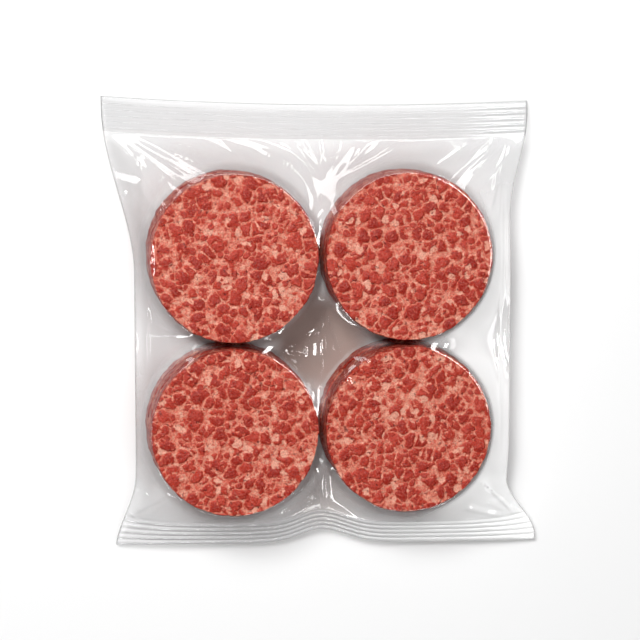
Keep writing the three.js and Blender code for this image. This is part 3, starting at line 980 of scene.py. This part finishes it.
def meat_colour(nodes, place, grain, mince):
    """Lean with bits of fat, painted shade in small pits and painted shade down the side, with a fine
    speckle over all.
    """
    colour = lean_colour(nodes, place, grain, mince)
    fray = nodes.math("SUBTRACT", grain, 0.5)
    fat = nodes.math("MULTIPLY_ADD", fray, GRAIN_IN_FAT, mince["fat"])
    colour = nodes.blend(nodes.ramp(fat, *FAT_BAND), colour, FAT_CREAM)
    # Painted shade: small dark pits, as if crevices in the mince lay in shadow
    pit_shade = nodes.ramp(nodes.noise(place, PIT_SHADE_SIZE, detail=2.0)[0], *PIT_SHADE_BAND)
    colour = nodes.blend(nodes.math("MULTIPLY", pit_shade, PIT_SHADE_STRENGTH), colour, PIT_SHADE_RED)
    # Painted shade: the side of each patty darker, as if turned from the light
    side = nodes.attribute("side")
    colour = nodes.blend(nodes.math("MULTIPLY", side, SIDE_SHADE_STRENGTH), colour, SIDE_SHADE_RED)
    speckle = nodes.ramp(nodes.noise(place, SPECKLE_SIZE, detail=2.0)[0], *SPECKLE_BAND, *SPECKLE)
    return nodes.vector("SCALE", colour, speckle)


def meat_material():
    material = bpy.data.materials.new("raw_mince")
    material.use_nodes = True
    nodes = Nodes(material.node_tree)
    shader = material.node_tree.nodes["Principled BSDF"]
    place = nodes.add("ShaderNodeTexCoord").outputs["Object"]
    mince = mince_pattern(nodes, place)
    grain = nodes.noise(place, GRAIN_SIZE, detail=4.0, roughness=0.6)[0]
    nodes.join(meat_colour(nodes, place, grain, mince), shader.inputs["Base Color"])
    nodes.join(nodes.ramp(grain, *GLOSS_BAND, *MEAT_ROUGHNESS), shader.inputs["Roughness"])
    shader.inputs["Specular IOR Level"].default_value = MEAT_SPECULAR
    bump = nodes.add("ShaderNodeBump")
    bump.inputs["Strength"].default_value = 1.0
    bump.inputs["Distance"].default_value = BUMP_HEIGHT * MM
    nodes.join(nodes.math("MULTIPLY_ADD", mince["lean"], LEAN_BUMP, grain), bump.inputs["Height"])
    nodes.join(bump.outputs[0], shader.inputs["Normal"])
    return material


def mince_relief():
    """Geometry nodes that raise the lumps of mince out of a patty's surface."""
    tree = bpy.data.node_groups.new("mince_relief", "GeometryNodeTree")
    tree.interface.new_socket("Geometry", in_out="INPUT", socket_type="NodeSocketGeometry")
    tree.interface.new_socket("Geometry", in_out="OUTPUT", socket_type="NodeSocketGeometry")
    nodes = Nodes(tree)
    source = nodes.add("NodeGroupInput")
    target = nodes.add("NodeGroupOutput")
    place = nodes.add("GeometryNodeInputPosition").outputs[0]
    normal = nodes.add("GeometryNodeInputNormal").outputs[0]
    mince = mince_pattern(nodes, place)
    swell = nodes.math("SUBTRACT", nodes.noise(place, SWELL_SIZE, detail=1.0)[0], 0.5)
    rough = nodes.math("SUBTRACT", nodes.noise(place, ROUGH_SIZE, detail=2.0)[0], 0.5)
    height = nodes.math("MULTIPLY_ADD", mince["dome"], DOME_HEIGHT, RELIEF_SINK)
    height = nodes.math("MULTIPLY_ADD", swell, SWELL_HEIGHT, height)
    height = nodes.math("MULTIPLY_ADD", rough, ROUGH_HEIGHT, height)
    offset = nodes.vector("SCALE", normal, nodes.math("MULTIPLY", height, MM))
    moved = nodes.add("GeometryNodeSetPosition")
    nodes.join(source.outputs[0], moved.inputs["Geometry"])
    nodes.join(offset, moved.inputs["Offset"])
    nodes.join(moved.outputs[0], target.inputs[0])
    return tree


def apply_modifiers(made):
    graph = bpy.context.evaluated_depsgraph_get()
    mesh = bpy.data.meshes.new_from_object(made.evaluated_get(graph))
    made.modifiers.clear()
    made.data = mesh
    mesh.shade_smooth()


def turned(points, angle):
    """The points turned about Z."""
    spun = points.copy()
    spun[:, 0] = points[:, 0] * math.cos(angle) - points[:, 1] * math.sin(angle)
    spun[:, 1] = points[:, 0] * math.sin(angle) + points[:, 1] * math.cos(angle)
    return spun


def make_patty(name, centre, level, draw, relief, material):
    """One patty, uneven in its own way. Only the top ones aren't shifted out of line."""
    fineness = {PATTIES_PER_STACK - 1: TOP_FINENESS, 0: BASE_FINENESS}
    steps, side_rows = fineness.get(level, MIDDLE_FINENESS)
    radius = PATTY_RADIUS + draw.uniform(*PATTY_SPREAD)
    points, faces = patty_shape(steps, side_rows, radius, PATTY_THICKNESS)
    points = turned(points, draw.uniform(0, 2 * math.pi))
    shift = draw.uniform(-PATTY_SHIFT, PATTY_SHIFT, 2) * (level < PATTIES_PER_STACK - 1)
    points[:, 0] += centre[0] + shift[0]
    points[:, 1] += centre[1] + shift[1]
    points[:, 2] += PATTY_BASE + level * (PATTY_THICKNESS + PATTY_GAP)
    patty = mesh_object(name, points * MM, faces, material)
    face_points = 2 * (steps + 1) ** 2
    carry(patty, "side", np.arange(len(points)) >= face_points)
    patty.modifiers.new("relief", "NODES").node_group = relief
    apply_modifiers(patty)
    return patty


def make_patties(offset, material):
    draw = np.random.default_rng(SEED)
    relief = mince_relief()
    patties = []
    for stack, (x, y) in enumerate(stack_centres()):
        centre = (x - offset[0], y - offset[1])
        for level in range(PATTIES_PER_STACK):
            name = f"patty_{stack + 1}_{level + 1}"
            patties.append(make_patty(name, centre, level, draw, relief, material))
    return patties


# Film material


def film_see_through(nodes, facing, seal):
    """What shows through the film, darker where it is aslant and where shade is painted between the
    stacks, and what passes for other light.
    """
    # Painted shade between the stacks darkens what the camera sees through the film
    straight = nodes.blend(nodes.attribute("gap_shade"), FILM_SEEN, FILM_GAP_SHADE)
    slanted = nodes.blend(seal, FILM_ASLANT, SEAL_ASLANT)
    seen = nodes.blend(facing, straight, slanted)
    from_camera = nodes.add("ShaderNodeLightPath").outputs["Is Camera Ray"]
    clear = nodes.add("ShaderNodeBsdfTransparent")
    nodes.join(nodes.blend(from_camera, FILM_CLEAR, seen), clear.inputs["Color"])
    return clear.outputs[0]


def film_haze(nodes, facing):
    """Share of haze, less in the slack film where it is seen square on, and its shader."""
    thinner = nodes.ramp(facing, *SLACK_TURN, SLACK_SQUARE_ON - 1.0, 0.0)
    left = nodes.math("MULTIPLY_ADD", nodes.attribute("slack"), thinner, 1.0)
    haze = nodes.add("ShaderNodeBsdfDiffuse")
    haze.inputs["Color"].default_value = FILM_HAZE
    return nodes.math("MULTIPLY", nodes.attribute("cloud"), left), haze.outputs[0]


def film_gloss(nodes, facing, seal, normal):
    """Share of mirror, more where the film is aslant and less in the seals, and its shader."""
    aslant = nodes.math("POWER", facing, MIRROR_POWER)
    mirror = nodes.math("MULTIPLY_ADD", aslant, MIRROR_ASLANT, MIRROR_STRAIGHT)
    gloss = nodes.add("ShaderNodeBsdfGlossy")
    gloss.inputs["Roughness"].default_value = FILM_ROUGHNESS
    nodes.join(normal, gloss.inputs["Normal"])
    return nodes.math("MULTIPLY", mirror, nodes.ramp(seal, 0.0, 1.0, 1.0, SEAL_MIRROR)), gloss.outputs[0]


def film_material():
    """Clear film: denser where it is seen aslant, with shade painted between the stacks, cloudy in the
    seals and where it hangs free.
    """
    material = bpy.data.materials.new("clear_film")
    material.use_nodes = True
    material.node_tree.nodes.clear()
    nodes = Nodes(material.node_tree)
    place = nodes.add("ShaderNodeTexCoord").outputs["Object"]
    seal = nodes.attribute("seal")
    ripple = nodes.add("ShaderNodeBump")
    strength = nodes.math("MULTIPLY_ADD", seal, -RIPPLE_STRENGTH, RIPPLE_STRENGTH)
    nodes.join(strength, ripple.inputs["Strength"])
    ripple.inputs["Distance"].default_value = RIPPLE_HEIGHT * MM
    nodes.join(nodes.noise(place, RIPPLE_SIZE, detail=2.0)[0], ripple.inputs["Height"])
    weight = nodes.add("ShaderNodeLayerWeight")
    weight.inputs["Blend"].default_value = 0.5
    nodes.join(ripple.outputs[0], weight.inputs["Normal"])
    facing = weight.outputs["Facing"]
    clear = film_see_through(nodes, facing, seal)
    cloudy = nodes.mixed(clear, *film_haze(nodes, facing))
    film = nodes.mixed(cloudy, *film_gloss(nodes, facing, seal, ripple.outputs[0]))
    nodes.join(film, nodes.add("ShaderNodeOutputMaterial").inputs["Surface"])
    return material


# Camera, light and floor


def camera_direction():
    lean = Vector((-math.tan(math.radians(CAMERA_LEAN_X)), math.tan(math.radians(CAMERA_LEAN_Y)), 1.0))
    return lean.normalized()


def make_camera(offset):
    data = bpy.data.cameras.new("camera")
    data.sensor_width = SENSOR_WIDTH
    data.lens = CAMERA_FOCAL_PIXELS / PICTURE_PIXELS * SENSOR_WIDTH
    data.clip_start, data.clip_end = CAMERA_CLIP
    camera = bpy.data.objects.new("camera", data)
    bpy.context.scene.collection.objects.link(camera)
    back = camera_direction()
    right = Vector((0, 1, 0)).cross(back).normalized()
    up = back.cross(right)
    target = Vector((CAMERA_TARGET[0] - offset[0], CAMERA_TARGET[1] - offset[1], CAMERA_TARGET[2]))
    place = (target + back * CAMERA_DISTANCE) * MM
    turn = Matrix((right, up, back)).transposed().to_4x4()
    camera.matrix_world = Matrix.Translation(place) @ turn
    bpy.context.scene.camera = camera


def make_lamp(name, azimuth, elevation, distance, size, power, shines_as, only=None):
    """A soft box aimed at the bag, for all pieces or only some. Azimuth 0 is +X and 90 is +Y.

    As "matt" it lights surfaces and isn't mirrored in them, as "gloss" it is only mirrored.
    """
    data = bpy.data.lights.new(name, "AREA")
    data.shape = "RECTANGLE"
    data.size, data.size_y = size
    data.energy = power
    lamp = bpy.data.objects.new(name, data)
    bpy.context.scene.collection.objects.link(lamp)
    turn = math.radians(azimuth)
    rise = math.radians(elevation)
    back = Vector((math.cos(turn) * math.cos(rise), math.sin(turn) * math.cos(rise), math.sin(rise)))
    lamp.location = back * distance
    lamp.rotation_mode = "QUATERNION"
    lamp.rotation_quaternion = (-back).to_track_quat("-Z", "Y")
    lamp.visible_glossy = shines_as == "gloss"
    lamp.visible_diffuse = shines_as == "matt"
    if only:
        lit = bpy.data.collections.new(name + "_lights")
        for piece in only:
            lit.objects.link(piece)
        lamp.light_linking.receiver_collection = lit


def make_world():
    """A studio that is dark overhead, where the camera is, and bright near the horizon."""
    world = bpy.data.worlds.new("studio")
    world.use_nodes = True
    bpy.context.scene.world = world
    nodes = Nodes(world.node_tree)
    background = world.node_tree.nodes["Background"]
    direction = nodes.add("ShaderNodeTexCoord").outputs["Generated"]
    height = nodes.channel(direction, "Z")
    nodes.join(nodes.ramp(height, *SKY_HEIGHTS, *SKY_STRENGTHS), background.inputs["Strength"])


# Panels that only the film mirrors, all at one distance: azimuth, elevation, width and height in
# metres, and power
PANEL_DISTANCE = 1.1
PANELS = (
    (68, 40, 0.60, 0.10, 2.0),
    (95, 16, 0.90, 0.25, 6.0),
    (128, 24, 0.40, 0.25, 3.0),
    (50, 10, 0.40, 0.20, 2.5),
    (0, 28, 0.90, 0.20, 4.0),
    (190, 50, 0.60, 0.10, 1.2),
    (290, 42, 0.50, 0.12, 2.0),
    (15, 62, 0.60, 0.16, 8.0),
    (262, 7, 0.45, 0.08, 2.5),
    (300, 14, 0.25, 0.10, 2.0),
    (228, 12, 0.50, 0.08, 2.5),
    (60, 52, 0.25, 0.12, 1.0),
    (8, 41, 0.35, 0.12, 3.5),
)


def make_studio(film, patties):
    bpy.context.scene.view_settings.view_transform = "Standard"
    make_world()
    make_lamp("key", *KEY_LAMP, "matt")
    make_lamp("overhead", *OVERHEAD_LAMP, "matt")
    make_lamp("film_fill", *FILM_LAMP, "matt", [film])
    make_lamp("glint", *GLINT_LAMP, "gloss", patties)
    for at, (azimuth, elevation, width, height, power) in enumerate(PANELS, 1):
        size = (width, height)
        make_lamp(f"panel_{at}", azimuth, elevation, PANEL_DISTANCE, size, power, "gloss", [film])


def make_floor():
    bpy.ops.mesh.primitive_plane_add(size=FLOOR_SIZE)
    floor = bpy.context.object
    floor.name = "floor"
    material = bpy.data.materials.new("pale_floor")
    material.use_nodes = True
    shader = material.node_tree.nodes["Principled BSDF"]
    shader.inputs["Base Color"].default_value = FLOOR_COLOUR
    shader.inputs["Roughness"].default_value = FLOOR_ROUGHNESS
    floor.data.materials.append(material)


sheets = film_sheets()
offset = bag_offset(sheets[0], sheets[1])
make_camera(offset)
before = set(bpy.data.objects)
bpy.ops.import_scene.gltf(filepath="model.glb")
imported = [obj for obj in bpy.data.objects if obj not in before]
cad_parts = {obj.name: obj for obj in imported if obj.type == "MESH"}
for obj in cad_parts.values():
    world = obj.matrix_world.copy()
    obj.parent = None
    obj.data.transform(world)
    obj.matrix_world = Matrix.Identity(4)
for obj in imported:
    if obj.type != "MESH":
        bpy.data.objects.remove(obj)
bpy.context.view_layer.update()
make_floor()

film = make_film(sheets, offset, film_material())
patties = make_patties(offset, meat_material())
make_studio(film, patties)
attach(film, "root")
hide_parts("film_bag")

for patty in patties:
    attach(patty, "root")
    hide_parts("film_bag")
